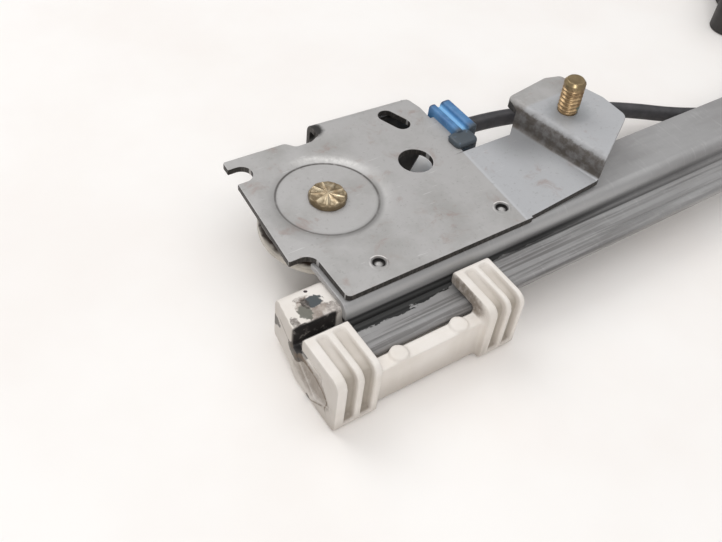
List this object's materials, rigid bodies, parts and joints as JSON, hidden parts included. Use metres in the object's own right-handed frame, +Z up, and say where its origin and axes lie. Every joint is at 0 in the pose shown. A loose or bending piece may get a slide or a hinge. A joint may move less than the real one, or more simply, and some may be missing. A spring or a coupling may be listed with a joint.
{
  "type": "window regulator",
  "caption": "Straight-rail cable window regulator: ribbed glass slider on a folded steel rail, end plates with pulleys and fixing studs, sheathed lift cables and a drum for a motor.",
  "frame": {"origin": "under the middle of the part's box, on the surface that it lies on", "axes": "+X along the guide rail, from the end with the hook slot to the far end; +Z up, out of the face that carries the fixing studs; +Y from the slider towards the cable drum"},
  "size_m": [0.4498, 0.1132, 0.0371],
  "materials": {
    "plate_steel": "dull zinc-plated sheet, scratched",
    "rail_steel": "dull zinc-plated sheet with grease marks",
    "dark_steel": "dark, lightly greased",
    "cable_steel": "bare steel",
    "yellow_zinc": "yellow zinc plating",
    "rivet_brass": "yellow zinc plating, staked",
    "white_plastic": "moulded, warm white",
    "blue_plastic": "moulded, blue",
    "black_plastic": "moulded, glass-filled",
    "conduit_sheath": "satin black sheath"
  },
  "bodies": {
    "frame": {"guide_rail": "rail_steel", "pulley_plate_a": "plate_steel", "pulley_plate_b": "plate_steel", "stud_a": "yellow_zinc", "stud_b": "yellow_zinc", "pulley_rivet_a": "rivet_brass", "pulley_rivet_b": "rivet_brass", "cable_guard_a": "dark_steel", "cable_guard_b": "dark_steel", "conduit_clip_a": "blue_plastic", "conduit_clip_b": "blue_plastic", "ferrule_a": "black_plastic", "ferrule_b": "black_plastic", "conduit_a": "conduit_sheath", "conduit_b": "conduit_sheath", "cable_a": "cable_steel", "cable_b": "cable_steel", "drum_housing": "black_plastic", "drum_cover": "black_plastic", "housing_screws": "yellow_zinc", "mounting_sleeves": "cable_steel", "port_sleeve_a": "black_plastic", "port_spring_a": "cable_steel", "port_sleeve_b": "black_plastic", "port_spring_b": "cable_steel"},
    "slider": {"slider": "white_plastic", "glass_inserts": "rivet_brass", "cable_nipples": "cable_steel"},
    "pulley_a": {"pulley_a": "white_plastic"},
    "pulley_b": {"pulley_b": "white_plastic"},
    "cable_drum": {"cable_drum": "white_plastic", "drum_nipples": "cable_steel", "drive_sleeve": "dark_steel"}
  },
  "joints": [
    {"name": "slider_slide", "type": "slide", "parent": "frame", "child": "slider", "axis": [1, 0, 0], "range_m": [0, 0.33]},
    {"name": "pulley_a_spin", "type": "hinge", "parent": "frame", "child": "pulley_a", "pos_m": [-0.1965, -0.00637, 0.0122], "axis": [0, 0, 1], "range_deg": [-1, 1182]},
    {"name": "pulley_b_spin", "type": "hinge", "parent": "frame", "child": "pulley_b", "pos_m": [0.2035, -0.00637, 0.0122], "axis": [0, 0, 1], "range_deg": [-1, 1182]},
    {"name": "drum_spin", "type": "hinge", "parent": "frame", "child": "cable_drum", "pos_m": [0.0355, 0.02063, 0.0076], "axis": [0, 0, 1], "range_deg": [-946, 1]}
  ],
  "couplings": [
    {"joint": "pulley_a_spin", "follows": "slider_slide", "rad_per_m": 62.5},
    {"joint": "pulley_b_spin", "follows": "slider_slide", "rad_per_m": 62.5},
    {"joint": "drum_spin", "follows": "slider_slide", "rad_per_m": -50}
  ]
}
